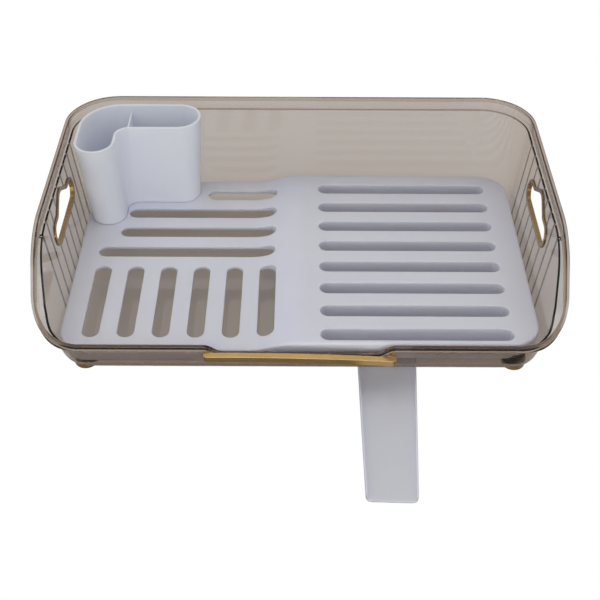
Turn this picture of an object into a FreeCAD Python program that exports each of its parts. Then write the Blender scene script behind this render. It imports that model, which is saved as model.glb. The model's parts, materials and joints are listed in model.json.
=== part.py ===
"""Countertop dish drying rack: clear tub, slotted plate rack, cutlery holder and swivel drain spout.

Units are millimetres.  +Z is up, +X is right and the front faces -Y.  Every sub-part is drawn about
the middle of the tub with the counter at Z = 0, and its Placement moves it by `frame_shift`, so the
origin is the centre of the footprint that the tub and the open spout cover together.
"""
import FreeCAD
import Part
import math
import os

import Sketcher

os.makedirs("parts", exist_ok=True)
doc = FreeCAD.newDocument("dish_drying_rack")
Vector = FreeCAD.Vector
Rotation = FreeCAD.Rotation
Placement = FreeCAD.Placement
UP = Vector(0, 0, 1)

# ---------------------------------------------------------------- driving dimensions
DIMENSIONS = {
    # tub: rim outline, heights and wall
    "rim_half_width": 230.0,
    "rim_back": 142.75,
    "rim_front": 140.5,
    "rim_radius_back": 49.0,
    "rim_radius_front": 23.0,
    "rim_height": 123.5,
    "front_height": 42.5,
    "dip_height": 35.0,
    "dip_half_top": 85.0,
    "dip_half_flat": 65.0,
    "slope_start": 56.6,
    "slope_bend_radius": 57.7,
    "slope_angle": 52.0,
    "front_run": 15.0,
    "wall": 2.2,
    "lip_width": 1.8,
    "lip_height": 3.3,
    "step_width": 2.8,
    "ledge_drop": 10.0,
    "ledge_drop_front": 4.2,
    "wall_draft": 6.0,
    "underside": 8.2,
    "floor_top": 10.4,
    "base_radius_back": 33.3,
    "base_radius_front": 33.3,
    "corner_sharpening": 0.42,
    "corner_level": 50.0,
    "base_fillet": 10.0,
    "cavity_fillet": 8.0,
    # side grooves
    "groove_count": 9,
    "groove_pitch": 18.0,
    "groove_width": 3.2,
    "groove_depth": 1.1,
    "groove_bottom": 19.0,
    "groove_top": 111.0,
    # handle openings and their trim rings, heights up the wall from the counter
    "handle_end_x": 32.75,
    "handle_end_z": 84.75,
    "handle_end_radius": 9.8,
    "handle_neck_x": 25.0,
    "handle_neck_z": 102.0,
    "handle_neck_radius": 7.4,
    "handle_hump_z": 92.0,
    "handle_hump_radius": 13.6,
    "trim_width": 2.8,
    "trim_thickness": 0.8,
    "collar_gap": 0.1,
    "collar_wall": 0.7,
    # front bar and its screws
    "bar_half_length": 84.0,
    "bar_front": 148.0,
    "bar_section": 6.1,
    "bar_arm_width": 8.6,
    "bar_middle_z": 34.95,
    "bar_arch_radius": 2170.0,
    "bar_tilt": 1.5,
    "bar_end_radius": 4.5,
    "bar_edge_radius": 0.6,
    "bar_seat": 2.1,
    "screw_drop": 1.0,
    "screw_sink": 0.35,
    "screw_radius": 1.2,
    "screw_head_radius": 2.3,
    "screw_head_height": 1.1,
    "screw_length": 8.0,
    "screw_gap": 0.2,
    "countersink_gap": 0.6,
    # feet and pads
    "foot_x": 192.5,
    "foot_front_y": 114.0,
    "foot_back_y": 107.0,
    "foot_top_radius": 11.6,
    "foot_bottom_radius": 10.4,
    "foot_bottom": 0.8,
    "foot_edge_radius": 1.5,
    "peg_radius": 3.0,
    "pad_radius": 7.6,
    "pad_height": 2.0,
    # plate rack
    "rack_left": 213.8,
    "rack_right": 212.0,
    "rack_back": 125.0,
    "rack_front": 132.1,
    "rack_radius_back": 30.0,
    "rack_radius_front": 27.0,
    "rack_skirt_depth": 12.4,
    "skirt_step_height": 27.0,
    "skirt_setback": 1.1,
    "rack_low_top": 32.0,
    "rack_high_top": 40.4,
    "rack_plate": 3.0,
    "rack_skirt": 2.4,
    "rack_edge_radius": 1.8,
    "ramp_low": 47.0,
    "ramp_high": 2.0,
    "ramp_radius": 55.0,
    "high_cavity_start": 4.0,
    "slot_row_1_start": 95.0,
    "slot_row_2_start": 173.0,
    "slot_row_3_start": 177.5,
    "slot_row_4_start": 195.0,
    "slot_width": 15.6,
    "slot_pitch": 31.4,
    "slot_row_back": 100.0,
    "slot_right_start": 18.0,
    "slot_right_end": 188.5,
    "slot_left_end": 24.0,
    "slot_collar": 1.8,
    "collar_bottom": 22.0,
    "upright_pitch": 31.2,
    "upright_first": 186.6,
    "upright_back": 16.5,
    "upright_front": 116.0,
    "leg_radius": 4.0,
    "recess_depth": 1.2,
    "recess_gap": 0.4,
    # cutlery holder
    "holder_top": 123.5,
    "holder_top_left": 216.0,
    "holder_top_right": 98.5,
    "holder_top_front": 39.0,
    "holder_top_back": 127.4,
    "holder_top_arm_front": 82.7,
    "holder_top_lobe_right": 177.5,
    "holder_top_corner": 40.0,
    "holder_base_left": 209.0,
    "holder_base_right": 104.0,
    "holder_base_front": 49.0,
    "holder_base_back": 121.5,
    "holder_base_arm_front": 88.0,
    "holder_base_lobe_right": 175.5,
    "holder_base_corner": 34.0,
    "holder_inner_radius": 12.0,
    "holder_hole_radius": 2.5,
    "holder_wall": 2.3,
    "holder_floor": 2.2,
    "divider_wall": 1.6,
    "divider_x": 169.8,
    "divider_start": 70.0,
    "divider_depth": 60.0,
    "divider_drop": 8.0,
    # drain, spout, retaining ring and strainer
    "drain_x": 79.8,
    "drain_y": 70.0,
    "spigot_bore": 12.6,
    "spigot_radius": 15.0,
    "spigot_bottom": 4.4,
    "spout_bottom": 0.8,
    "spout_floor": 1.6,
    "spout_lip_top": 6.2,
    "spout_cover": 1.6,
    "spout_wall": 1.6,
    "spout_hub_radius": 27.95,
    "spout_tip_half": 21.1,
    "spout_tip_radius": 5.0,
    "spout_length": 203.8,
    "spout_swing": 1.66,
    "spout_clearance": 0.06,
    "ring_radius": 18.0,
    "ring_height": 1.4,
    "strainer_radius": 17.0,
    "strainer_flange": 1.0,
    "strainer_depth": 3.0,
    "strainer_hole": 1.6,
    "strainer_pitch": 4.6,
    # fits, and how far cutting tools reach past what they cut
    "fit_gap": 0.1,
    "overshoot": 5.0,
    "cut_reach": 200.0,
    "through": 30.0,
}
sheet = doc.addObject("Spreadsheet::Sheet", "Sheet")
for row, (alias, value) in enumerate(DIMENSIONS.items(), start=1):
    sheet.set(f"A{row}", alias)
    sheet.set(f"B{row}", str(value))
    sheet.setAlias(f"B{row}", alias)
doc.recompute()


def size(alias):
    """The sheet's number for an alias."""
    return float(sheet.get(alias))


# the spout's lowest corner in Y sets how far the footprint reaches forward of the tub
swing = math.radians(size("spout_swing"))
tip_centre_x = size("spout_tip_half") - size("spout_tip_radius")
tip_centre_y = size("spout_length") - size("spout_tip_radius")
spout_reach = (size("drain_y") + tip_centre_y * math.cos(swing) + tip_centre_x * math.sin(swing)
               + size("spout_tip_radius"))
frame_shift = Vector(0, (spout_reach - size("rim_back")) / 2, 0)


# ---------------------------------------------------------------- sketch helpers
def tangent_run(first, second):
    """End points of the line that leaves one rounded corner and meets the next."""
    (centre_a, radius_a, turn_a), (centre_b, radius_b, turn_b) = first, second
    gap = centre_b - centre_a
    lean = math.asin((turn_a * radius_a - turn_b * radius_b) / gap.Length)
    heading = math.atan2(gap.y, gap.x) + lean
    side = Vector(math.sin(heading), -math.cos(heading), 0)
    return centre_a + side * (turn_a * radius_a), centre_b + side * (turn_b * radius_b)


def draw_outline(sketch, corners, tag="c"):
    """Closed outline of tangent arcs and lines, anticlockwise.

    Each corner is (centre x, centre y, radius, turn): the first three are expressions on the sheet,
    and turn is 1 where the outline turns left and -1 where it turns right.
    """
    rounds = []
    for x, y, radius, turn in corners:
        centre = Vector(float(sketch.evalExpression(x)), float(sketch.evalExpression(y)), 0)
        rounds.append((centre, float(sketch.evalExpression(radius)), turn))
    count = len(rounds)
    runs = [tangent_run(rounds[i], rounds[(i + 1) % count]) for i in range(count)]
    arcs = []
    lines = []
    for i, (centre, radius, turn) in enumerate(rounds):
        arrive = runs[i - 1][1] - centre
        leave = runs[i][0] - centre
        ends = [math.atan2(arrive.y, arrive.x), math.atan2(leave.y, leave.x)]
        if turn < 0:
            ends.reverse()
        arc = Part.ArcOfCircle(Part.Circle(centre, UP, radius), ends[0], ends[1])
        arcs.append(sketch.addGeometry(arc, False))
    for start, end in runs:
        lines.append(sketch.addGeometry(Part.LineSegment(start, end), False))
    for i in range(count):
        after = (i + 1) % count
        leave_point = 2 if rounds[i][2] > 0 else 1
        arrive_point = 1 if rounds[after][2] > 0 else 2
        sketch.addConstraint(Sketcher.Constraint("Tangent", arcs[i], leave_point, lines[i], 1))
        sketch.addConstraint(Sketcher.Constraint("Tangent", lines[i], 2, arcs[after], arrive_point))
    for i, (x, y, radius, turn) in enumerate(corners):
        bind(sketch, Sketcher.Constraint("Radius", arcs[i], rounds[i][1]), f"{tag}{i}_radius", radius)
        place_point(sketch, arcs[i], 3, x, y, f"{tag}{i}")


def bind(sketch, constraint, name, expression):
    """Add a named dimension and tie it to the sheet."""
    index = sketch.addConstraint(constraint)
    sketch.renameConstraint(index, name)
    sketch.setExpression(f"Constraints.{name}", expression)


def place_point(sketch, geometry, point, x, y, tag):
    """Hold a point at (x, y), both expressions; 0 puts it on the axis."""
    if x == "0":
        sketch.addConstraint(Sketcher.Constraint("PointOnObject", geometry, point, -2))
    else:
        value = float(sketch.evalExpression(x))
        bind(sketch, Sketcher.Constraint("DistanceX", -1, 1, geometry, point, value), f"{tag}_x", x)
    if y == "0":
        sketch.addConstraint(Sketcher.Constraint("PointOnObject", geometry, point, -1))
    else:
        value = float(sketch.evalExpression(y))
        bind(sketch, Sketcher.Constraint("DistanceY", -1, 1, geometry, point, value), f"{tag}_y", y)


def draw_circle(sketch, x, y, radius, tag="c"):
    """A circle whose centre and radius are expressions."""
    centre = Vector(float(sketch.evalExpression(x)), float(sketch.evalExpression(y)), 0)
    value = float(sketch.evalExpression(radius))
    circle = sketch.addGeometry(Part.Circle(centre, UP, value), False)
    bind(sketch, Sketcher.Constraint("Radius", circle, value), f"{tag}_radius", radius)
    place_point(sketch, circle, 3, x, y, tag)


def rounded_box(left, right, front, back, radius_front, radius_back):
    """Corners of a rounded rectangle for draw_outline, each side an expression."""
    return [
        (f"{right} - {radius_front}", f"{front} + {radius_front}", radius_front, 1),
        (f"{right} - {radius_back}", f"{back} - {radius_back}", radius_back, 1),
        (f"{left} + {radius_back}", f"{back} - {radius_back}", radius_back, 1),
        (f"{left} + {radius_front}", f"{front} + {radius_front}", radius_front, 1),
    ]


def slot(x_start, x_end, y_start, y_end, radius):
    """Corners of a round-ended slot between two end centres, left to right or back to front."""
    return [(x_end, y_end, radius, 1), (x_start, y_start, radius, 1)]


def free_sketch(name, corners, height="0", more=()):
    """A sketch on a level plane at a height, outside any body."""
    sketch = doc.addObject("Sketcher::SketchObject", name)
    draw_outline(sketch, corners)
    for i, extra in enumerate(more):
        draw_outline(sketch, extra, tag=f"m{i}_")
    sketch.setExpression("Placement.Base.z", height)
    return sketch


def extrude(name, sketch, length):
    """A level sketch pulled straight up."""
    solid = doc.addObject("Part::Extrusion", name)
    solid.Base = sketch
    solid.DirMode = "Custom"
    solid.Dir = UP
    solid.Solid = True
    solid.setExpression("LengthFwd", length)
    return solid


def loft(name, sketches):
    """Straight-sided solid between two outlines."""
    solid = doc.addObject("Part::Loft", name)
    solid.Sections = sketches
    solid.Solid = True
    solid.Ruled = True
    return solid


def join(name, kind, base, tool):
    """Part boolean of two objects: Part::Cut, Part::Fuse or Part::Common."""
    result = doc.addObject(kind, name)
    result.Base = base
    result.Tool = tool
    return result


def group(name, members):
    """One compound of several tools."""
    compound = doc.addObject("Part::Compound", name)
    compound.Links = members
    return compound


def new_body(name):
    """A body whose Label is its node name."""
    body = doc.addObject("PartDesign::Body", name)
    body.Label = name
    return body


def body_sketch(body, name, plane="XY_Plane", height="0"):
    """A sketch on one of the body's own origin planes."""
    sketch = body.newObject("Sketcher::SketchObject", name)
    support = [f for f in body.Origin.OriginFeatures if f.Role == plane][0]
    sketch.AttachmentSupport = [(support, "")]
    sketch.MapMode = "FlatFace"
    sketch.setExpression("AttachmentOffset.Base.z", height)
    return sketch


def pad(body, sketch, name, length):
    """A pad along the sketch's normal."""
    feature = body.newObject("PartDesign::Pad", name)
    feature.Profile = sketch
    feature.setExpression("Length", length)
    doc.recompute()
    return feature


def pocket(body, sketch, name, length, upward=False):
    """A pocket below the sketch, or above it where upward is set, which has to remove material."""
    before = body.Shape.Volume
    feature = body.newObject("PartDesign::Pocket", name)
    feature.Profile = sketch
    feature.Reversed = upward
    feature.setExpression("Length", length)
    doc.recompute()
    if not feature.Shape.Volume < before - 0.01:
        raise RuntimeError(f"{name} removes nothing")
    return feature


def repeat(body, feature, name, sketch, axis, pitch, count, reverse=True):
    """A row of copies of one feature along a sketch axis."""
    pattern = body.newObject("PartDesign::LinearPattern", name)
    pattern.Originals = [feature]
    pattern.Direction = (sketch, [axis])
    pattern.Reversed = reverse
    pattern.Mode = "Spacing"
    pattern.setExpression("Offset", pitch)
    pattern.Occurrences = count
    body.Tip = pattern
    doc.recompute()
    return pattern


PARTS = []


def finish_part(node, label, spot=None):
    """Name a finished sub-part and put it in the shared frame."""
    node.Label = label
    node.Placement = Placement(frame_shift, Rotation()).multiply(spot or Placement())
    PARTS.append(node)


# ---------------------------------------------------------------- tub
def rim_line(drop_side, drop_front):
    """Stations of the rim's height line on the right side, lowered by a drop.

    Each is (plan point, outward direction, height): the slope's foot, round the front corner and
    along the front to where the rim is level, on a smooth cubic in the distance travelled.
    """
    radius = size("rim_radius_front")
    centre = Vector(size("rim_half_width") - radius, radius - size("rim_front"), 0)
    slope = math.tan(math.radians(size("slope_angle")))
    start = slope_height(centre.y) - drop_side
    end = size("front_height") - drop_front
    corner_length = radius * math.pi / 2
    travel = corner_length + size("front_run")
    stations = []
    steps = 8
    for i in range(steps + 1):
        t = i / steps
        distance = t * travel
        height = ((2 * t**3 - 3 * t**2 + 1) * start + (t**3 - 2 * t**2 + t) * travel * -slope
                  + (3 * t**2 - 2 * t**3) * end)
        angle = min(distance, corner_length) / radius
        outward = Vector(math.cos(angle), -math.sin(angle), 0)
        along = Vector(-max(0.0, distance - corner_length), 0, 0)
        stations.append((centre + along, outward, height))
    return stations


def slope_height(y):
    """Height of the side rim at a depth y on its straight slope."""
    bend = size("slope_bend_radius")
    angle = math.radians(size("slope_angle"))
    bend_end = -size("slope_start") - bend * math.sin(angle)
    bend_height = size("rim_height") - bend * (1 - math.cos(angle))
    return bend_height + (y - bend_end) * math.tan(angle)


def above_rim(name, drop_side, drop_front):
    """Everything above the rim's height line, lowered by a drop at the sides and at the front."""
    far = 300.0
    reach = 60.0
    near = 3.0
    stations = rim_line(drop_side, drop_front)
    foot_y = stations[0][0].y
    top = size("rim_height") - drop_side
    bend = size("slope_bend_radius")
    angle = math.radians(size("slope_angle"))
    bend_start = Vector(0, -size("slope_start"), top)
    bend_middle = Vector(0, bend_start.y - bend * math.sin(angle / 2),
                         top - bend * (1 - math.cos(angle / 2)))
    bend_end = Vector(0, bend_start.y - bend * math.sin(angle), top - bend * (1 - math.cos(angle)))
    foot = Vector(0, foot_y, stations[0][2])
    side_edges = [
        Part.LineSegment(Vector(0, far, top), bend_start).toShape(),
        Part.Arc(bend_start, bend_middle, bend_end).toShape(),
        Part.LineSegment(bend_end, foot).toShape(),
        Part.LineSegment(foot, Vector(0, foot_y, far)).toShape(),
        Part.LineSegment(Vector(0, foot_y, far), Vector(0, far, far)).toShape(),
        Part.LineSegment(Vector(0, far, far), Vector(0, far, top)).toShape(),
    ]
    side = Part.Face(Part.Wire(side_edges)).extrude(Vector(2 * far, 0, 0))
    side.translate(Vector(-far, 0, 0))

    sections = []
    for plan, outward, height in stations:
        low = Vector(plan.x, plan.y, height) + outward * near
        high = Vector(plan.x, plan.y, far) + outward * near
        corners = [low, low + outward * reach, high + outward * reach, high]
        sections.append(Part.makePolygon(corners + [low]))
    right = Part.makeLoft(sections, True, False)
    left = right.mirror(Vector(0, 0, 0), Vector(1, 0, 0))

    level = size("front_height") - drop_front
    dip = size("front_height") - size("dip_height")
    half_top = size("dip_half_top")
    half_flat = size("dip_half_flat")
    run = half_top - half_flat
    curl = (run**2 + dip**2) / (4 * dip)
    half_turn = math.asin(run / 2 / curl) / 2
    end_x = stations[-1][0].x
    front_y = foot_y

    def dip_side(side_sign):
        shoulder = Vector(side_sign * half_top, front_y, level)
        middle = Vector(side_sign * (half_top + half_flat) / 2, front_y, level - dip / 2)
        bottom = Vector(side_sign * half_flat, front_y, level - dip)
        upper = Vector(side_sign * (half_top - curl * math.sin(half_turn)), front_y,
                       level - curl * (1 - math.cos(half_turn)))
        lower = Vector(side_sign * (half_flat + curl * math.sin(half_turn)), front_y,
                       level - dip + curl * (1 - math.cos(half_turn)))
        return shoulder, upper, middle, lower, bottom

    right_side = dip_side(1)
    left_side = dip_side(-1)
    front_edges = [
        Part.LineSegment(Vector(end_x, front_y, level), right_side[0]).toShape(),
        Part.Arc(right_side[0], right_side[1], right_side[2]).toShape(),
        Part.Arc(right_side[2], right_side[3], right_side[4]).toShape(),
        Part.LineSegment(right_side[4], left_side[4]).toShape(),
        Part.Arc(left_side[4], left_side[3], left_side[2]).toShape(),
        Part.Arc(left_side[2], left_side[1], left_side[0]).toShape(),
        Part.LineSegment(left_side[0], Vector(-end_x, front_y, level)).toShape(),
        Part.LineSegment(Vector(-end_x, front_y, level), Vector(-end_x, front_y, far)).toShape(),
        Part.LineSegment(Vector(-end_x, front_y, far), Vector(end_x, front_y, far)).toShape(),
        Part.LineSegment(Vector(end_x, front_y, far), Vector(end_x, front_y, level)).toShape(),
    ]
    front = Part.Face(Part.Wire(front_edges)).extrude(Vector(0, -reach, 0))
    feature = doc.addObject("Part::Feature", name)
    feature.Shape = side.fuse([right, left, front]).removeSplitter().Solids[0]
    return feature


def offset_box(inward, radius_trim):
    """The rim outline moved inward, as corners for draw_outline."""
    half = f"(Sheet.rim_half_width - {inward})"
    return rounded_box(f"-{half}", half, f"-(Sheet.rim_front - {inward})",
                       f"(Sheet.rim_back - {inward})",
                       f"(Sheet.rim_radius_front - {radius_trim})",
                       f"(Sheet.rim_radius_back - {radius_trim})")


def wall_box(height, extra):
    """The lower walls' outline at a height, moved inward: drafted sides, front corners sharper higher up."""
    draft = "tan(Sheet.wall_draft * 1 deg)"
    skin = f"(Sheet.lip_width + Sheet.step_width + {extra})"
    side_fall = f"(Sheet.rim_height - Sheet.ledge_drop - {height}) * {draft}"
    front_fall = f"(Sheet.front_height - Sheet.ledge_drop_front - {height}) * {draft}"
    half = f"(Sheet.rim_half_width - {skin} - {side_fall})"
    rise = f"({height} - Sheet.underside)"
    sharpening = f"min({rise}; Sheet.corner_level - Sheet.underside) * Sheet.corner_sharpening"
    return rounded_box(f"-{half}", half, f"-(Sheet.rim_front - {skin} - {front_fall})",
                       f"(Sheet.rim_back - {skin} - {side_fall})",
                       f"(Sheet.base_radius_front - {extra} - {sharpening})",
                       f"(Sheet.base_radius_back - {extra} + {rise} * {draft})")


def wall_block(name, bottom, extra):
    """Straight-sided block of the lower walls' outline from a height to above the rim."""
    top = "(Sheet.rim_height + Sheet.overshoot)"
    return loft(name, [free_sketch(f"{name}_{i}", wall_box(height, extra), height)
                       for i, height in enumerate((bottom, "Sheet.corner_level", top))])


def wall_frame(side, level):
    """Placement on a side wall's outer face: x along the depth, y up the wall, z outwards."""
    draft = math.radians(size("wall_draft"))
    base_half = (size("rim_half_width") - size("lip_width") - size("step_width")
                 - (size("rim_height") - size("ledge_drop") - size("underside")) * math.tan(draft))
    x = side * (base_half + (level - size("underside")) * math.tan(draft))
    along = Vector(0, side, 0)
    upward = Vector(side * math.sin(draft), 0, math.cos(draft))
    outward = along.cross(upward)
    return Placement(Vector(x, 0, level), Rotation(along, upward, outward, "XYZ"))


def handle_outline(grow):
    """Outline of the handle opening in wall coordinates, grown by an expression."""
    level = "Sheet.handle_end_z"
    end = f"(Sheet.handle_end_radius + {grow})"
    neck = f"(Sheet.handle_neck_radius - {grow})"
    hump = f"(Sheet.handle_hump_radius + {grow})"
    return [
        ("Sheet.handle_end_x", "0", end, 1),
        ("Sheet.handle_neck_x", f"Sheet.handle_neck_z - {level}", neck, -1),
        ("0", f"Sheet.handle_hump_z - {level}", hump, 1),
        ("-Sheet.handle_neck_x", f"Sheet.handle_neck_z - {level}", neck, -1),
        ("-Sheet.handle_end_x", "0", end, 1),
    ]


def round_edges(name, base, choose, radius):
    """Part fillet of the edges that a test picks."""
    doc.recompute()
    fillet = doc.addObject("Part::Fillet", name)
    fillet.Base = base
    value = size(radius)
    picked = [i + 1 for i, edge in enumerate(base.Shape.Edges) if choose(edge)]
    fillet.Edges = [(i, value, value) for i in picked]
    return fillet


def level_at(height):
    """Test for edges that lie level at a height."""
    def test(edge):
        box = edge.BoundBox
        return abs(box.ZMin - height) < 0.01 and abs(box.ZMax - height) < 0.01
    return test


def box_tool(name, length, width, height, spot):
    """A Part box with its own placement."""
    box = doc.addObject("Part::Box", name)
    box.setExpression("Length", length)
    box.setExpression("Width", width)
    box.setExpression("Height", height)
    box.Placement = spot
    return box


def cylinder(name, radius, height, spot):
    """A Part cylinder with its own placement."""
    tool = doc.addObject("Part::Cylinder", name)
    tool.setExpression("Radius", radius)
    tool.setExpression("Height", height)
    tool.Placement = spot
    return tool


def cone(name, bottom_radius, top_radius, height, spot):
    """A Part cone with its own placement."""
    tool = doc.addObject("Part::Cone", name)
    tool.setExpression("Radius1", bottom_radius)
    tool.setExpression("Radius2", top_radius)
    tool.setExpression("Height", height)
    tool.Placement = spot
    return tool


def at(x, y, z, rotation=None):
    """A plain placement."""
    return Placement(Vector(x, y, z), rotation or Rotation())


SIDES = (("left", -1), ("right", 1))
CORNERS = [(f"{depth}_{side}", sign * size("foot_x"), foot_y)
           for depth, foot_y in (("front", -size("foot_front_y")), ("back", size("foot_back_y")))
           for side, sign in SIDES]
DRAIN = (size("drain_x"), -size("drain_y"))


def build_tub_shell():
    """Drafted lower walls and floor, a step out at the ledge, then an upright band with a lip."""
    top = "(Sheet.rim_height + Sheet.overshoot)"
    lower = wall_block("lower_block", "Sheet.underside", "0")
    lower = round_edges("lower_rounded", lower, level_at(size("underside")), "base_fillet")
    cavity = wall_block("cavity_block", "Sheet.floor_top", "Sheet.wall")
    cavity = round_edges("cavity_rounded", cavity, level_at(size("floor_top")), "cavity_fillet")
    outline = free_sketch("band_outline", offset_box("Sheet.lip_width", "Sheet.lip_width"))
    band = extrude("band_block", outline, top)
    skin = "(Sheet.lip_width + Sheet.wall)"
    outline = free_sketch("band_cavity_outline", offset_box(skin, skin))
    band_cavity = extrude("band_cavity_block", outline, top)
    outline = free_sketch("lip_outline", offset_box("0", "0"))
    lip = extrude("lip_block", outline, top)

    over_rim = above_rim("over_rim", 0, 0)
    over_lip = above_rim("over_lip", size("lip_height"), size("lip_height"))
    over_ledge = above_rim("over_ledge", size("ledge_drop"), size("ledge_drop_front"))
    over_plate = above_rim("over_plate", size("ledge_drop") + size("wall"),
                           size("ledge_drop_front") + size("wall"))

    below_ledge = join("below_ledge", "Part::Cut", lower, over_ledge)
    walls = join("lower_walls", "Part::Cut", below_ledge, cavity)
    high_cavity = join("high_cavity", "Part::Common", band_cavity, over_ledge)
    band_part = join("band_part", "Part::Common", band, over_plate)
    band_part = join("band_open", "Part::Cut", band_part, high_cavity)
    band_part = join("band_hollow", "Part::Cut", band_part, cavity)
    band_part = join("band_trimmed", "Part::Cut", band_part, over_rim)
    lip_part = join("lip_part", "Part::Common", lip, over_lip)
    lip_part = join("lip_trimmed", "Part::Cut", lip_part, over_rim)
    lip_part = join("lip_ring", "Part::Cut", lip_part, band)
    rim = join("rim_part", "Part::Fuse", band_part, lip_part)
    return join("tub_shell", "Part::Fuse", walls, rim)


def tub_tools():
    """What is cut from the shell: side grooves, handle openings, drain, peg and screw holes."""
    tools = []
    rise = "(Sheet.groove_top - Sheet.groove_bottom) / cos(Sheet.wall_draft * 1 deg)"
    middle = (size("groove_count") - 1) / 2
    for side, sign in SIDES:
        wall = wall_frame(sign, size("groove_bottom"))
        for i in range(int(size("groove_count"))):
            shift = (i - middle) * size("groove_pitch") - size("groove_width") / 2
            spot = wall.multiply(at(shift, 0, -size("groove_depth")))
            tools.append(box_tool(f"groove_{side}_{i}", "Sheet.groove_width", rise,
                                  "Sheet.groove_depth + Sheet.overshoot", spot))
        opening = doc.addObject("Sketcher::SketchObject", f"handle_outline_{side}")
        draw_outline(opening, handle_outline("0"))
        hole = extrude(f"handle_hole_{side}", opening, "Sheet.wall * 6")
        hole.Placement = wall_frame(sign, size("handle_end_z")).multiply(at(0, 0, -size("wall") * 3))
        tools.append(hole)
        spot = screw_spot(sign, -size("countersink_gap"))
        tools.append(cylinder(f"screw_hole_{side}", "Sheet.screw_radius + Sheet.screw_gap",
                              "Sheet.wall * 3", spot))
        tools.append(cone(f"countersink_{side}",
                          "Sheet.screw_head_radius + Sheet.screw_gap + Sheet.countersink_gap",
                          "Sheet.screw_radius + Sheet.screw_gap",
                          "Sheet.screw_head_height + Sheet.countersink_gap", spot))
    tools.append(cylinder("drain_hole", "Sheet.spigot_bore", "Sheet.through", at(*DRAIN, 0)))
    for corner, x, y in CORNERS:
        tools.append(cylinder(f"peg_hole_{corner}", "Sheet.peg_radius", "Sheet.through", at(x, y, 0)))
    return tools


FACING_BACK = Rotation(Vector(1, 0, 0), -90)
FACING_FRONT = Rotation(Vector(1, 0, 0), 90)
BAR_SPOT = at(0, 0, size("bar_middle_z"), Rotation(Vector(0, 1, 0), size("bar_tilt")))


def front_wall_y(z):
    """Depth of the front wall's outer face at a height below the ledge."""
    ledge = size("front_height") - size("ledge_drop_front")
    return (size("lip_width") + size("step_width") - size("rim_front")
            + (ledge - z) * math.tan(math.radians(size("wall_draft"))))


def screw_spot(sign, sink):
    """Placement of a bar screw: its head flush inside the front wall, its axis forwards."""
    x = size("bar_half_length") - size("bar_arm_width") / 2
    arm = BAR_SPOT.multVec(Vector(sign * x, 0, -x ** 2 / (2 * size("bar_arch_radius"))))
    z = arm.z - size("screw_drop")
    return at(sign * x, front_wall_y(z) + size("wall") - size("screw_sink") - sink, z, FACING_FRONT)


def build_tub():
    """The shell with its drain spigot, less the holes and grooves."""
    shell = build_tub_shell()
    spigot = cylinder("spigot", "Sheet.spigot_radius", "Sheet.floor_top - Sheet.spigot_bottom",
                      at(*DRAIN, size("spigot_bottom")))
    with_spigot = join("shell_and_spigot", "Part::Fuse", shell, spigot)
    tub = join("tub_body", "Part::Cut", with_spigot, group("tub_tools", tub_tools()))
    finish_part(tub, "tub")


# ---------------------------------------------------------------- trims, bar, screws and feet
def build_trims():
    """Gold rings on both faces of each side wall; the outer one has a collar through the opening."""
    skin = "Sheet.wall * cos(Sheet.wall_draft * 1 deg)"
    for side, sign in SIDES:
        spot = wall_frame(sign, size("handle_end_z"))
        outer = new_body(f"handle_trim_outer_{side}")
        sketch = body_sketch(outer, f"outer_ring_{side}")
        draw_outline(sketch, handle_outline("Sheet.trim_width"), tag="a")
        draw_outline(sketch, handle_outline("-Sheet.collar_wall"), tag="b")
        pad(outer, sketch, f"outer_plate_{side}", "Sheet.trim_thickness")
        sketch = body_sketch(outer, f"collar_ring_{side}", height=f"-{skin}")
        draw_outline(sketch, handle_outline("-Sheet.collar_gap"), tag="a")
        draw_outline(sketch, handle_outline("-Sheet.collar_wall"), tag="b")
        pad(outer, sketch, f"collar_{side}", skin)
        finish_part(outer, f"handle_trim_outer_{side}", spot)
        inner = new_body(f"handle_trim_inner_{side}")
        sketch = body_sketch(inner, f"inner_ring_{side}", height=f"-{skin} - Sheet.trim_thickness")
        draw_outline(sketch, handle_outline("Sheet.trim_width"), tag="a")
        draw_outline(sketch, handle_outline("-Sheet.collar_wall"), tag="b")
        pad(inner, sketch, f"inner_plate_{side}", "Sheet.trim_thickness")
        finish_part(inner, f"handle_trim_inner_{side}", spot)


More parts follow.
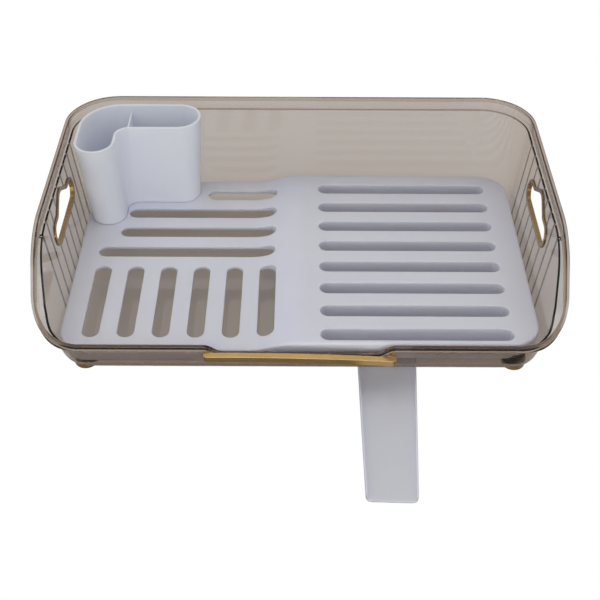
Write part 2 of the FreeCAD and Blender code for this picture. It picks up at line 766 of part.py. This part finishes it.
def build_bar():
    """Gently arched gold bar, a little out of level, with an arm back to the wall at each end."""
    edge = "Sheet.bar_edge_radius"
    end = "(Sheet.bar_half_length - Sheet.bar_end_radius)"
    arm = "(Sheet.bar_half_length - Sheet.bar_arm_width)"
    front = "-(Sheet.bar_front - Sheet.bar_end_radius)"
    back = f"-(Sheet.rim_front - Sheet.lip_width - Sheet.bar_seat + {edge})"
    notch = f"-(Sheet.bar_front - Sheet.bar_section - {edge})"
    prism = extrude("bar_prism", free_sketch("bar_outline", [
        (f"-{end}", front, "Sheet.bar_end_radius", 1),
        (end, front, "Sheet.bar_end_radius", 1),
        (f"Sheet.bar_half_length - {edge}", back, edge, 1),
        (f"{arm} + {edge}", back, edge, 1),
        (f"{arm} - {edge}", notch, edge, -1),
        (f"-({arm} - {edge})", notch, edge, -1),
        (f"-({arm} + {edge})", back, edge, 1),
        (f"-(Sheet.bar_half_length - {edge})", back, edge, 1),
    ], "-2 * Sheet.bar_section"), "4 * Sheet.bar_section")
    prism.Placement = BAR_SPOT
    axis = BAR_SPOT.multiply(at(0, -size("bar_front") - size("overshoot"), -size("bar_arch_radius"),
                            FACING_BACK))
    above = cylinder("bar_arch_top", "Sheet.bar_arch_radius + Sheet.bar_section / 2",
                     "Sheet.through", axis)
    below = cylinder("bar_arch_bottom", "Sheet.bar_arch_radius - Sheet.bar_section / 2",
                     "Sheet.through", axis)
    arch = join("bar_arch", "Part::Cut", above, below)
    bar = join("bar_solid", "Part::Common", prism, arch)
    bar = round_edges("bar_rounded", bar, lies_flat, "bar_edge_radius")
    bar = join("bar_fitted", "Part::Cut", bar, doc.getObject("shell_and_spigot"))
    holes = [cylinder(f"bar_hole_{side}", "Sheet.screw_radius", "Sheet.screw_length",
                      screw_spot(sign, 0)) for side, sign in SIDES]
    finish_part(join("bar_drilled", "Part::Cut", bar, group("bar_holes", holes)), "front_bar")


def lies_flat(edge):
    """Test for edges that run along a piece, not up it."""
    box = edge.BoundBox
    return box.ZLength < box.XLength + box.YLength


def soften(body, feature, edges, name, radius):
    """Round a body's named edges."""
    fillet = body.newObject("PartDesign::Fillet", name)
    fillet.Base = (feature, edges)
    fillet.setExpression("Radius", radius)
    doc.recompute()
    return fillet


def build_screws():
    """Countersunk screws from inside the front wall into the bar's arms."""
    for side, sign in SIDES:
        spot = screw_spot(sign, 0)
        head = cone(f"screw_head_{side}", "Sheet.screw_head_radius", "Sheet.screw_radius",
                    "Sheet.screw_head_height", spot)
        shank = cylinder(f"screw_shank_{side}", "Sheet.screw_radius", "Sheet.screw_length", spot)
        finish_part(join(f"screw_{side}", "Part::Fuse", head, shank), f"bar_screw_{side}")


def build_feet():
    """Gold foot under each corner, plugged into the floor, with a rubber pad let into its face."""
    for corner, x, y in CORNERS:
        low = at(x, y, size("foot_bottom"))
        disc = cone(f"foot_disc_{corner}", "Sheet.foot_bottom_radius", "Sheet.foot_top_radius",
                    "Sheet.underside - Sheet.foot_bottom", low)
        disc = round_edges(f"foot_rounded_{corner}", disc, level_at(size("foot_bottom")),
                           "foot_edge_radius")
        peg = cylinder(f"foot_peg_{corner}", "Sheet.peg_radius - Sheet.fit_gap",
                       "Sheet.floor_top - Sheet.foot_bottom", low)
        solid = join(f"foot_solid_{corner}", "Part::Fuse", disc, peg)
        recess = cylinder(f"foot_recess_{corner}", "Sheet.pad_radius + Sheet.fit_gap",
                          "Sheet.pad_height", at(x, y, 0))
        finish_part(join(f"foot_cut_{corner}", "Part::Cut", solid, recess), f"foot_{corner}")
        rubber = cylinder(f"pad_disc_{corner}", "Sheet.pad_radius", "Sheet.pad_height", at(x, y, 0))
        place = rubber.Placement
        finish_part(rubber, f"foot_pad_{corner}", place)


# ---------------------------------------------------------------- plate rack
SLOT = "(Sheet.slot_width / 2)"
RIGHT_SLOTS = 8
UPRIGHT_SLOTS = 6
LEFT_ROWS = (("slot_row_1_start", 0), ("slot_row_2_start", 1), ("slot_row_3_start", 2),
             ("slot_row_4_start", 3))
# legs stand where no slot shows them from in front
LOW_LEGS = ((-173.5, -100), (-77.4, -100), (-173, -9.3), (-77.4, -9.3), (-12, 52.9), (-190, 80),
            (-120, 112))
HIGH_LEGS = ((8, 84.3), (8, -104), (198.5, 84.3), (198.5, -102), (103, 21.5))


def rack_box(inset):
    """The rack's plan outline moved inward."""
    return rounded_box(f"-(Sheet.rack_left - {inset})", f"(Sheet.rack_right - {inset})",
                       f"-(Sheet.rack_front - {inset})", f"(Sheet.rack_back - {inset})",
                       f"(Sheet.rack_radius_front - {inset})",
                       f"(Sheet.rack_radius_back - {inset})")


def right_slot(grow):
    """The hindmost slot of the raised half."""
    return slot(f"Sheet.slot_right_start + {SLOT}", f"Sheet.slot_right_end - {SLOT}",
                "Sheet.slot_row_back", "Sheet.slot_row_back", f"({SLOT} + {grow})")


def build_rack():
    """One moulding: low half, ramp and raised half, with slots, a skirt and legs under it."""
    body = new_body("plate_rack")
    over = "(Sheet.rack_high_top + 1)"
    side = "(Sheet.rack_left + Sheet.overshoot)"
    low_bottom = "(Sheet.rack_low_top - Sheet.rack_skirt_depth)"
    high_bottom = "(Sheet.rack_high_top - Sheet.rack_skirt_depth)"
    under = f"({low_bottom} - 1)"
    sketch = body_sketch(body, "rack_outline", height=under)
    draw_outline(sketch, rack_box("0"))
    pad(body, sketch, "rack_block", f"{over} - {under}")

    sketch = body_sketch(body, "skirt_cut_outline", "XZ_Plane", "-Sheet.cut_reach")
    draw_outline(sketch, [
        (f"-{side}", f"{low_bottom} - 10", "1", 1),
        (side, f"{low_bottom} - 10", "1", 1),
        (side, f"{high_bottom} - 1", "1", 1),
        ("-Sheet.ramp_high", f"{high_bottom} - Sheet.ramp_radius", "Sheet.ramp_radius", 1),
        ("-Sheet.ramp_low", f"{low_bottom} + Sheet.ramp_radius", "Sheet.ramp_radius", -1),
        (f"-{side}", f"{low_bottom} - 1", "1", 1),
    ])
    pocket(body, sketch, "skirt_cut", "2 * Sheet.cut_reach", upward=True)
    sketch = body_sketch(body, "skirt_setback_outline", height=under)
    draw_outline(sketch, rack_box("-Sheet.overshoot"), tag="a")
    draw_outline(sketch, rack_box("Sheet.skirt_setback"), tag="b")
    pocket(body, sketch, "skirt_setback", f"Sheet.skirt_step_height - {under}", upward=True)
    sketch = body_sketch(body, "ramp_outline", "XZ_Plane", "-Sheet.cut_reach")
    draw_outline(sketch, [
        (f"-{side}", "Sheet.rack_low_top + 1", "1", 1),
        ("-Sheet.ramp_low", "Sheet.rack_low_top + Sheet.ramp_radius", "Sheet.ramp_radius", 1),
        ("-Sheet.ramp_high", "Sheet.rack_high_top - Sheet.ramp_radius", "Sheet.ramp_radius", -1),
        (side, "Sheet.rack_high_top + 1", "1", 1),
        (side, "Sheet.rack_high_top + 10", "1", 1),
        (f"-{side}", "Sheet.rack_high_top + 10", "1", 1),
    ])
    top_cut = pocket(body, sketch, "rack_top_cut", "2 * Sheet.cut_reach", upward=True)

    names = [f"Edge{i + 1}" for i, item in enumerate(top_cut.Shape.Edges) if top_border(item)]
    soften(body, top_cut, names, "rack_rounded", "Sheet.rack_edge_radius")

    sketch = body_sketch(body, "low_cavity_outline", height=under)
    draw_outline(sketch, rack_box("Sheet.rack_skirt"))
    pocket(body, sketch, "low_cavity", f"Sheet.rack_low_top - Sheet.rack_plate - {under}", upward=True)
    sketch = body_sketch(body, "high_cavity_outline", height=under)
    draw_outline(sketch, rounded_box("Sheet.high_cavity_start", "(Sheet.rack_right - Sheet.rack_skirt)",
                                     "-(Sheet.rack_front - Sheet.rack_skirt)",
                                     "(Sheet.rack_back - Sheet.rack_skirt)",
                                     "(Sheet.rack_radius_front - Sheet.rack_skirt)",
                                     "(Sheet.rack_radius_back - Sheet.rack_skirt)"))
    pocket(body, sketch, "high_cavity", f"Sheet.rack_high_top - Sheet.rack_plate - {under}", upward=True)

    for name, legs, top in (("low_legs", LOW_LEGS, "Sheet.rack_low_top"),
                            ("high_legs", HIGH_LEGS, "Sheet.rack_high_top")):
        sketch = body_sketch(body, f"{name}_outline", height="Sheet.floor_top")
        for i, (x, y) in enumerate(legs):
            draw_circle(sketch, str(x), str(y), "Sheet.leg_radius", tag=f"leg{i}")
        pad(body, sketch, name, f"{top} - Sheet.rack_plate + 0.5 - Sheet.floor_top")

    sketch = body_sketch(body, "collar_outline", height="Sheet.collar_bottom")
    draw_outline(sketch, right_slot("Sheet.slot_collar"))
    collar = pad(body, sketch, "slot_collar",
                 "Sheet.rack_high_top - Sheet.rack_plate + 0.5 - Sheet.collar_bottom")
    repeat(body, collar, "slot_collars", sketch, "V_Axis", "Sheet.slot_pitch", RIGHT_SLOTS)
    sketch = body_sketch(body, "right_slot_outline", height=over)
    draw_outline(sketch, right_slot("0"))
    cut = pocket(body, sketch, "right_slot", f"{over} - Sheet.collar_bottom + 1")
    repeat(body, cut, "right_slots", sketch, "V_Axis", "Sheet.slot_pitch", RIGHT_SLOTS)

    sketch = body_sketch(body, "left_slot_outlines", height=over)
    for start, i in LEFT_ROWS:
        row_y = f"Sheet.slot_row_back - {i} * Sheet.slot_pitch"
        draw_outline(sketch, slot(f"-Sheet.{start} + {SLOT}", f"-Sheet.slot_left_end - {SLOT}",
                                  row_y, row_y, SLOT), tag=f"row{i}_")
    pocket(body, sketch, "left_slots", f"{over} - Sheet.collar_bottom + 1")
    sketch = body_sketch(body, "upright_slot_outline", height=over)
    draw_outline(sketch, slot("-Sheet.upright_first", "-Sheet.upright_first",
                              f"-Sheet.upright_back - {SLOT}", f"-Sheet.upright_front + {SLOT}", SLOT))
    cut = pocket(body, sketch, "upright_slot", f"{over} - Sheet.collar_bottom + 1")
    repeat(body, cut, "upright_slots", sketch, "H_Axis", "Sheet.upright_pitch", UPRIGHT_SLOTS,
           reverse=False)

    sketch = body_sketch(body, "recess_outline", height=over)
    draw_outline(sketch, holder_outline("base", "-Sheet.recess_gap"))
    pocket(body, sketch, "holder_recess", f"{over} - Sheet.rack_low_top + Sheet.recess_depth")
    finish_part(body, "plate_rack")


def top_border(edge):
    """True for the edges round the border of the rack's top face."""
    box = edge.BoundBox
    centre = edge.CenterOfMass
    inside = (-size("rack_left") + 20 < centre.x < size("rack_right") - 20
              and 1 - size("rack_front") < centre.y < size("rack_back") - 1)
    return box.ZMin > size("rack_low_top") - 0.01 and not inside


# ---------------------------------------------------------------- cutlery holder
def holder_outline(level, inset):
    """L-shaped outline of the holder at its top or base, moved inward."""
    def cell(name):
        return f"Sheet.holder_{level}_{name}"
    arm = f"(({cell('back')} - {cell('arm_front')}) / 2)"
    lobe = f"(({cell('left')} - {cell('lobe_right')}) / 2)"
    inner = "Sheet.holder_inner_radius"
    return [
        (f"-({cell('left')} + {cell('lobe_right')}) / 2", f"{cell('front')} + {lobe}",
         f"({lobe} - {inset})", 1),
        (f"{inner} - {cell('lobe_right')}", f"{cell('arm_front')} - {inner}",
         f"({inner} + {inset})", -1),
        (f"-{cell('right')} - {arm}", f"{cell('arm_front')} + {arm}", f"({arm} - {inset})", 1),
        (f"{cell('corner')} - {cell('left')}", f"{cell('back')} - {cell('corner')}",
         f"({cell('corner')} - {inset})", 1),
    ]


def build_holder():
    """Tapered cup with a moulded divider and drain holes, standing in the rack's recess."""
    base = "Sheet.rack_low_top - Sheet.recess_depth"
    outer = loft("holder_outer", [
        free_sketch("holder_base_outline", holder_outline("base", "0"), base),
        free_sketch("holder_top_outline", holder_outline("top", "0"), "Sheet.holder_top"),
    ])
    inner = loft("holder_inner", [
        free_sketch("holder_floor_outline", holder_outline("base", "Sheet.holder_wall"),
                    f"{base} + Sheet.holder_floor"),
        free_sketch("holder_mouth_outline", holder_outline("top", "Sheet.holder_wall"),
                    "Sheet.holder_top"),
    ])
    cup = join("holder_cup", "Part::Cut", outer, inner)
    low = size("rack_low_top") - size("recess_depth")
    slab = box_tool("divider_slab", "Sheet.divider_wall", "Sheet.divider_depth",
                    f"Sheet.holder_top - Sheet.divider_drop - ({base})",
                    at(-size("divider_x") - size("divider_wall") / 2, size("divider_start"), low))
    divider = join("divider", "Part::Common", slab, outer)
    with_divider = join("holder_divided", "Part::Fuse", cup, divider)
    holes = [cylinder(f"holder_drain_{i}", "Sheet.holder_hole_radius", "Sheet.through",
                      at(x, y, low - size("through") / 2))
             for i, (x, y) in enumerate(HOLDER_HOLES)]
    holder = join("holder_body", "Part::Cut", with_divider, group("holder_drains", holes))
    finish_part(holder, "cutlery_holder")


HOLDER_HOLES = ((-192, 66), (-192, 82), (-185, 100), (-150, 105), (-134, 105), (-118, 105))


# ---------------------------------------------------------------- drain spout
def build_spout():
    """Open chute with a covered hub that turns on the tub's spigot."""
    body = new_body("drain_spout")
    tip = "Sheet.spout_tip_radius"
    hub = "Sheet.spout_hub_radius"
    sketch = body_sketch(body, "spout_outline", height="Sheet.spout_bottom")
    draw_outline(sketch, [
        ("0", "0", hub, 1),
        (f"-(Sheet.spout_tip_half - {tip})", f"-(Sheet.spout_length - {tip})", tip, 1),
        (f"Sheet.spout_tip_half - {tip}", f"-(Sheet.spout_length - {tip})", tip, 1),
    ])
    pad(body, sketch, "spout_block", "Sheet.spout_lip_top - Sheet.spout_bottom")
    inside = "Sheet.spout_tip_half - Sheet.spout_wall - 1"
    sketch = body_sketch(body, "channel_outline", height="Sheet.spout_lip_top")
    draw_outline(sketch, [
        ("0", "0", f"{hub} - Sheet.spout_wall", 1),
        (f"-({inside})", "-(Sheet.spout_length + 3)", "1", 1),
        (inside, "-(Sheet.spout_length + 3)", "1", 1),
    ])
    pocket(body, sketch, "channel", "Sheet.spout_lip_top - Sheet.spout_bottom - Sheet.spout_floor")
    sketch = body_sketch(body, "cover_outline", height="Sheet.spout_lip_top")
    draw_circle(sketch, "0", "0", hub, tag="a")
    draw_circle(sketch, "0", "0", "Sheet.spigot_radius + Sheet.spout_clearance", tag="b")
    pad(body, sketch, "hub_cover", "Sheet.spout_cover")
    finish_part(body, "drain_spout", at(*DRAIN, 0, Rotation(UP, -size("spout_swing"))))


def build_drain_parts():
    """Snap ring that holds the spout on the spigot, and the strainer in the drain."""
    low = at(*DRAIN, size("spigot_bottom"))
    disc = cylinder("ring_disc", "Sheet.ring_radius", "Sheet.ring_height", low)
    hole = cylinder("ring_hole", "Sheet.spigot_radius", "Sheet.ring_height", low)
    finish_part(join("ring_cut", "Part::Cut", disc, hole), "spout_retaining_ring")

    flange = cylinder("strainer_disc", "Sheet.strainer_radius", "Sheet.strainer_flange",
                      at(*DRAIN, size("floor_top")))
    plug = cylinder("strainer_plug", "Sheet.spigot_bore - 2 * Sheet.fit_gap", "Sheet.strainer_depth",
                    at(*DRAIN, size("floor_top") - size("strainer_depth")))
    solid = join("strainer_solid", "Part::Fuse", flange, plug)
    holes = []
    for ring, count in enumerate((1, 6, 12)):
        for i in range(count):
            angle = 2 * math.pi * i / count
            x = DRAIN[0] + ring * size("strainer_pitch") * math.cos(angle)
            y = DRAIN[1] + ring * size("strainer_pitch") * math.sin(angle)
            holes.append(cylinder(f"strainer_hole_{ring}_{i}", "Sheet.strainer_hole",
                                  "Sheet.through", at(x, y, 0)))
    strainer = join("strainer_cut", "Part::Cut", solid, group("strainer_holes", holes))
    finish_part(strainer, "drain_strainer")


def check_and_export():
    """Stop on any failed object or bad shape, then write one STEP file per sub-part."""
    doc.recompute()
    for item in doc.Objects:
        if "Invalid" in item.State or "Error" in item.State:
            raise RuntimeError(f"{item.Name} failed: {item.State}")
    for node in PARTS:
        shape = node.Shape
        if shape.isNull() or not shape.isValid() or len(shape.Solids) != 1:
            raise RuntimeError(f"{node.Label} has a bad shape")
        shape.exportStep(f"parts/{node.Label}.step")
        print(node.Label, round(shape.Volume), "mm3")


build_tub()
build_trims()
build_bar()
build_screws()
build_feet()
build_rack()
build_holder()
build_spout()
build_drain_parts()
check_and_export()
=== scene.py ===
"""The looks of a countertop dish drainer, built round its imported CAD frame: a smoke-tinted clear tub, a white
plate tray, cutlery cup and spout, gold-plated trims, bar and feet, and rubber foot pads. Metres, +Z up."""

import json
import math

import bpy
from mathutils import Matrix, Vector

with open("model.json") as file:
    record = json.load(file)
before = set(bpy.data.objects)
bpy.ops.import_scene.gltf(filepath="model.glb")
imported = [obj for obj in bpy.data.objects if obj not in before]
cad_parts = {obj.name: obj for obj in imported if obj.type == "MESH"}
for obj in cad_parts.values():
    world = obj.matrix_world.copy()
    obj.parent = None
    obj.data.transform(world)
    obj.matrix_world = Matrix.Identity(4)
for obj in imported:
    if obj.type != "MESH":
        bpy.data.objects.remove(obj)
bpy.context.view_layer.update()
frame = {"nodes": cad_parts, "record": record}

MM = 0.001


# ---------------------------------------------------------------- helpers for node materials


class Look:
    """A material with a Principled shader, and short calls that add texture nodes to it."""

    def __init__(self, name, **constants):
        self.material = bpy.data.materials.new(name)
        self.material.use_nodes = True
        self.tree = self.material.node_tree
        self.shader = self.tree.nodes["Principled BSDF"]
        for socket, value in constants.items():
            self.shader.inputs[socket.replace("_", " ")].default_value = value
        self.place = self.tree.nodes.new("ShaderNodeTexCoord").outputs["Object"]

    def noise(self, scale, detail=3.0, distortion=0.0, stretch=(1, 1, 1)):
        """Noise with scale features per metre, drawn out along the axes whose stretch is small."""
        mapping = self.tree.nodes.new("ShaderNodeMapping")
        mapping.inputs["Scale"].default_value = stretch
        texture = self.tree.nodes.new("ShaderNodeTexNoise")
        texture.inputs["Scale"].default_value = scale
        texture.inputs["Detail"].default_value = detail
        texture.inputs["Distortion"].default_value = distortion
        self.tree.links.new(self.place, mapping.inputs["Vector"])
        self.tree.links.new(mapping.outputs["Vector"], texture.inputs["Vector"])
        return texture.outputs["Fac"]

    def spread(self, value, low, high):
        """The middle of a noise value, from 0.35 to 0.65, spread from low to high."""
        node = self.tree.nodes.new("ShaderNodeMapRange")
        node.inputs["From Min"].default_value = 0.35
        node.inputs["From Max"].default_value = 0.65
        node.inputs["To Min"].default_value = low
        node.inputs["To Max"].default_value = high
        self.tree.links.new(value, node.inputs["Value"])
        return node.outputs["Result"]

    def two_colours(self, value, first, second):
        """A colour from first to second as value goes from 0 to 1."""
        node = self.tree.nodes.new("ShaderNodeMix")
        node.data_type = "RGBA"
        node.inputs["A"].default_value = (*first, 1)
        node.inputs["B"].default_value = (*second, 1)
        self.tree.links.new(value, node.inputs["Factor"])
        return node.outputs["Result"]

    def drive(self, value, socket):
        self.tree.links.new(value, self.shader.inputs[socket])

    def bump(self, *layers):
        """Bumps one over another. Each layer is a height value and its height in metres."""
        normal = None
        for value, height in layers:
            node = self.tree.nodes.new("ShaderNodeBump")
            node.inputs["Distance"].default_value = height
            self.tree.links.new(value, node.inputs["Height"])
            if normal is not None:
                self.tree.links.new(normal, node.inputs["Normal"])
            normal = node.outputs["Normal"]
        self.drive(normal, "Normal")


def smoke_plastic():
    """Polished clear plastic whose brown-grey tint deepens with the way that light takes through it."""
    look = Look("smoke_plastic", IOR=1.49, Transmission_Weight=1.0, Base_Color=(1, 1, 1, 1))
    look.drive(look.spread(look.noise(7, 2, 0.6), 0.01, 0.05), "Roughness")
    tint = look.tree.nodes.new("ShaderNodeVolumeAbsorption")
    tint.inputs["Color"].default_value = (0.44, 0.22, 0.02, 1)
    tint.inputs["Density"].default_value = 185
    look.tree.links.new(tint.outputs["Volume"], look.tree.nodes["Material Output"].inputs["Volume"])
    return look.material


def white_plastic(name, depth, first, second):
    """Cool white moulded plastic, between two casts, with a fine satin grain. Light goes in to a depth."""
    look = Look(name, IOR=1.46, Specular_IOR_Level=0.4, Subsurface_Weight=0.8,
                Subsurface_Radius=(1, 1, 1), Subsurface_Scale=depth)
    cast = look.spread(look.noise(14, 3), 0, 1)
    look.drive(look.two_colours(cast, first, second), "Base Color")
    look.drive(look.spread(look.noise(60, 4), 0.40, 0.50), "Roughness")
    look.bump((look.noise(1800, 2), 0.03 * MM), (look.noise(45, 2), 0.02 * MM))
    return look.material


def gold_plating(name, dull, bright):
    """Gold-plated plastic, between two tones: satin metal with fine lines in X, under clear lacquer."""
    look = Look(name, Metallic=1.0, Coat_Weight=0.4, Coat_Roughness=0.12)
    lines = look.noise(900, 3, 0, (0.02, 1, 1))
    cast = look.spread(look.noise(30, 3), 0, 1)
    look.drive(look.two_colours(cast, dull, bright), "Base Color")
    look.drive(look.spread(lines, 0.22, 0.34), "Roughness")
    look.bump((lines, 0.01 * MM))
    return look.material


def rubber():
    """Black matt rubber with a little dust in its grain."""
    look = Look("rubber", Specular_IOR_Level=0.3)
    dust = look.spread(look.noise(400, 4), 0, 1)
    look.drive(look.two_colours(dust, (0.012, 0.012, 0.013), (0.03, 0.029, 0.028)), "Base Color")
    look.drive(look.spread(look.noise(900, 3), 0.6, 0.85), "Roughness")
    look.bump((look.noise(2500, 2), 0.05 * MM))
    return look.material


def steel():
    """Plain steel with turning marks."""
    look = Look("steel", Metallic=1.0)
    turned = look.noise(1500, 2, 0, (1, 0.05, 1))
    cast = look.spread(turned, 0, 1)
    look.drive(look.two_colours(cast, (0.42, 0.42, 0.43), (0.60, 0.60, 0.61)), "Base Color")
    look.drive(look.spread(turned, 0.22, 0.42), "Roughness")
    return look.material


looks = {
    "smoke_plastic": smoke_plastic(),
    "white_plastic": white_plastic("white_plastic", 5 * MM, (0.80, 0.81, 0.95), (0.825, 0.835, 0.975)),
    "gold_plastic": gold_plating("gold_plastic", (0.66, 0.43, 0.16), (0.74, 0.49, 0.20)),
    "rubber": rubber(),
    "steel": steel(),
}
# Painted shade: a darker copy of the gold plating for the handle trims and the feet, which sit in shade.
shaded_gold = gold_plating("shaded_gold_plastic", (0.30, 0.175, 0.055), (0.40, 0.25, 0.09))
# Painted light: the cutlery holder gets a lighter copy of the white plastic, which brightens its shaded inside.
holder_lit_white = white_plastic("holder_lit_white_plastic", 3 * MM, (0.84, 0.87, 0.99), (0.86, 0.89, 1.0))
for sub_part in frame["record"]["subparts"]:
    name = sub_part["node"]
    look = looks[sub_part["material_slot"]]
    if name.startswith(("handle_trim", "foot_front", "foot_back")):
        look = shaded_gold
    if name == "cutlery_holder":
        look = holder_lit_white
    node = frame["nodes"][name]
    node.data.materials.clear()
    node.data.materials.append(look)


# ---------------------------------------------------------------- floor, light and camera

FLOOR_SIZE = 14
FLOOR_MIDDLE = 2.0
FLOOR_LEVEL = -0.2 * MM
# Painted light: the floor glows with this strength from GLOW_START to GLOW_FULL and behind; in front of
# GLOW_START it is mid-grey painted shade.
FLOOR_GLOW = 0.20
GLOW_START = -0.09
GLOW_FULL = -0.05
HORIZON_LIGHT = 0.62
OVERHEAD_LIGHT = 0.50
CAMERA_PLACE = (0, -0.7505, 0.6852)
CAMERA_TILT = 49
CAMERA_ROLL = 0.25
CAMERA_LENS = 64.88
SENSOR_WIDTH = 36


def paint_floor_shade_and_glow(look):
    """Painted shade and painted light: mid-grey in front of the drainer as painted shade for what the gold bar
    reflects, and light-coloured with a faint painted glow from its front edge backwards, which lights the tub
    from beneath.
    """
    depth = look.tree.nodes.new("ShaderNodeSeparateXYZ")
    look.tree.links.new(look.place, depth.inputs["Vector"])
    backwards = look.tree.nodes.new("ShaderNodeMapRange")
    backwards.interpolation_type = "SMOOTHSTEP"
    backwards.inputs["From Min"].default_value = GLOW_START - FLOOR_MIDDLE
    backwards.inputs["From Max"].default_value = GLOW_FULL - FLOOR_MIDDLE
    look.tree.links.new(depth.outputs["Y"], backwards.inputs["Value"])
    painted_light_mask = backwards.outputs["Result"]
    # Painted shade: mid-grey in front of the drainer; painted light: the glow below uses the same mask.
    look.drive(look.two_colours(painted_light_mask, (0.30, 0.29, 0.28), (0.62, 0.62, 0.62)), "Base Color")
    glow = look.tree.nodes.new("ShaderNodeMath")
    glow.operation = "MULTIPLY"
    glow.inputs[1].default_value = FLOOR_GLOW
    look.tree.links.new(painted_light_mask, glow.inputs[0])
    look.drive(glow.outputs["Value"], "Emission Strength")


def white_to_camera(look):
    """Plain white where the camera sees the surface directly, and its own shader for all other light."""
    white = look.tree.nodes.new("ShaderNodeEmission")
    path = look.tree.nodes.new("ShaderNodeLightPath")
    mix = look.tree.nodes.new("ShaderNodeMixShader")
    look.tree.links.new(path.outputs["Is Camera Ray"], mix.inputs["Fac"])
    look.tree.links.new(look.shader.outputs["BSDF"], mix.inputs[1])
    look.tree.links.new(white.outputs["Emission"], mix.inputs[2])
    look.tree.links.new(mix.outputs["Shader"], look.tree.nodes["Material Output"].inputs["Surface"])


def add_floor():
    """A paper sheet under the drainer, most of it behind, with painted shade in front of the drainer and a
    painted glow under and behind it.
    """
    look = Look("floor_painted_shade_and_glow", Roughness=0.9, Specular_IOR_Level=0.1, Emission_Color=(1.0, 0.985, 0.97, 1))
    paint_floor_shade_and_glow(look)
    white_to_camera(look)
    bpy.ops.mesh.primitive_plane_add(size=FLOOR_SIZE, location=(0, FLOOR_MIDDLE, FLOOR_LEVEL))
    floor = bpy.context.object
    floor.name = "floor"
    floor.data.materials.append(look.material)


def add_softbox(name, place, target, size, watts):
    """A rectangular lamp, its width and height in metres, that faces a target."""
    lamp = bpy.data.lights.new(name, "AREA")
    lamp.shape = "RECTANGLE"
    lamp.size, lamp.size_y = size
    lamp.energy = watts
    box = bpy.data.objects.new(name, lamp)
    box.location = place
    box.rotation_euler = (Vector(target) - Vector(place)).to_track_quat("-Z", "Y").to_euler()
    bpy.context.scene.collection.objects.link(box)


def add_sky():
    """Soft light from all round, a little dimmer overhead, and plain white to the camera."""
    world = bpy.data.worlds.new("studio")
    world.use_nodes = True
    nodes, links = world.node_tree.nodes, world.node_tree.links
    parts = nodes.new("ShaderNodeSeparateXYZ")
    links.new(nodes.new("ShaderNodeTexCoord").outputs["Generated"], parts.inputs["Vector"])
    ramp = nodes.new("ShaderNodeMapRange")
    ramp.inputs["From Min"].default_value = 0.0
    ramp.inputs["From Max"].default_value = 0.8
    ramp.inputs["To Min"].default_value = HORIZON_LIGHT
    ramp.inputs["To Max"].default_value = OVERHEAD_LIGHT
    links.new(parts.outputs["Z"], ramp.inputs["Value"])
    background = nodes["Background"]
    background.inputs["Color"].default_value = (1, 1, 1, 1)
    white_out = nodes.new("ShaderNodeMath")
    white_out.operation = "MAXIMUM"
    links.new(ramp.outputs["Result"], white_out.inputs[0])
    links.new(nodes.new("ShaderNodeLightPath").outputs["Is Camera Ray"], white_out.inputs[1])
    links.new(white_out.outputs["Value"], background.inputs["Strength"])
    bpy.context.scene.world = world


def add_camera():
    """A camera in front of the tub's middle that looks down at it, turned a little about its own axis."""
    lens = bpy.data.cameras.new("camera")
    lens.lens = CAMERA_LENS
    lens.sensor_width = SENSOR_WIDTH
    camera = bpy.data.objects.new("camera", lens)
    tilt = Matrix.Rotation(math.radians(CAMERA_TILT), 4, "X")
    roll = Matrix.Rotation(math.radians(CAMERA_ROLL), 4, "Z")
    camera.matrix_world = Matrix.Translation(CAMERA_PLACE) @ tilt @ roll
    bpy.context.scene.collection.objects.link(camera)
    bpy.context.scene.camera = camera


add_floor()
add_sky()
add_softbox("top_softbox", (0.0, 0.5, 1.7), (0, 0, 0), (2.2, 1.4), 5)
add_softbox("front_softbox", (-0.8, -2.0, 1.1), (0, 0, 0.05), (2.4, 1.0), 6)
add_softbox("front_strip", (-0.05, -0.85, 0.10), (0, 0, 0.03), (1.2, 0.15), 1.7)
add_camera()
bpy.context.scene.view_settings.view_transform = "Standard"
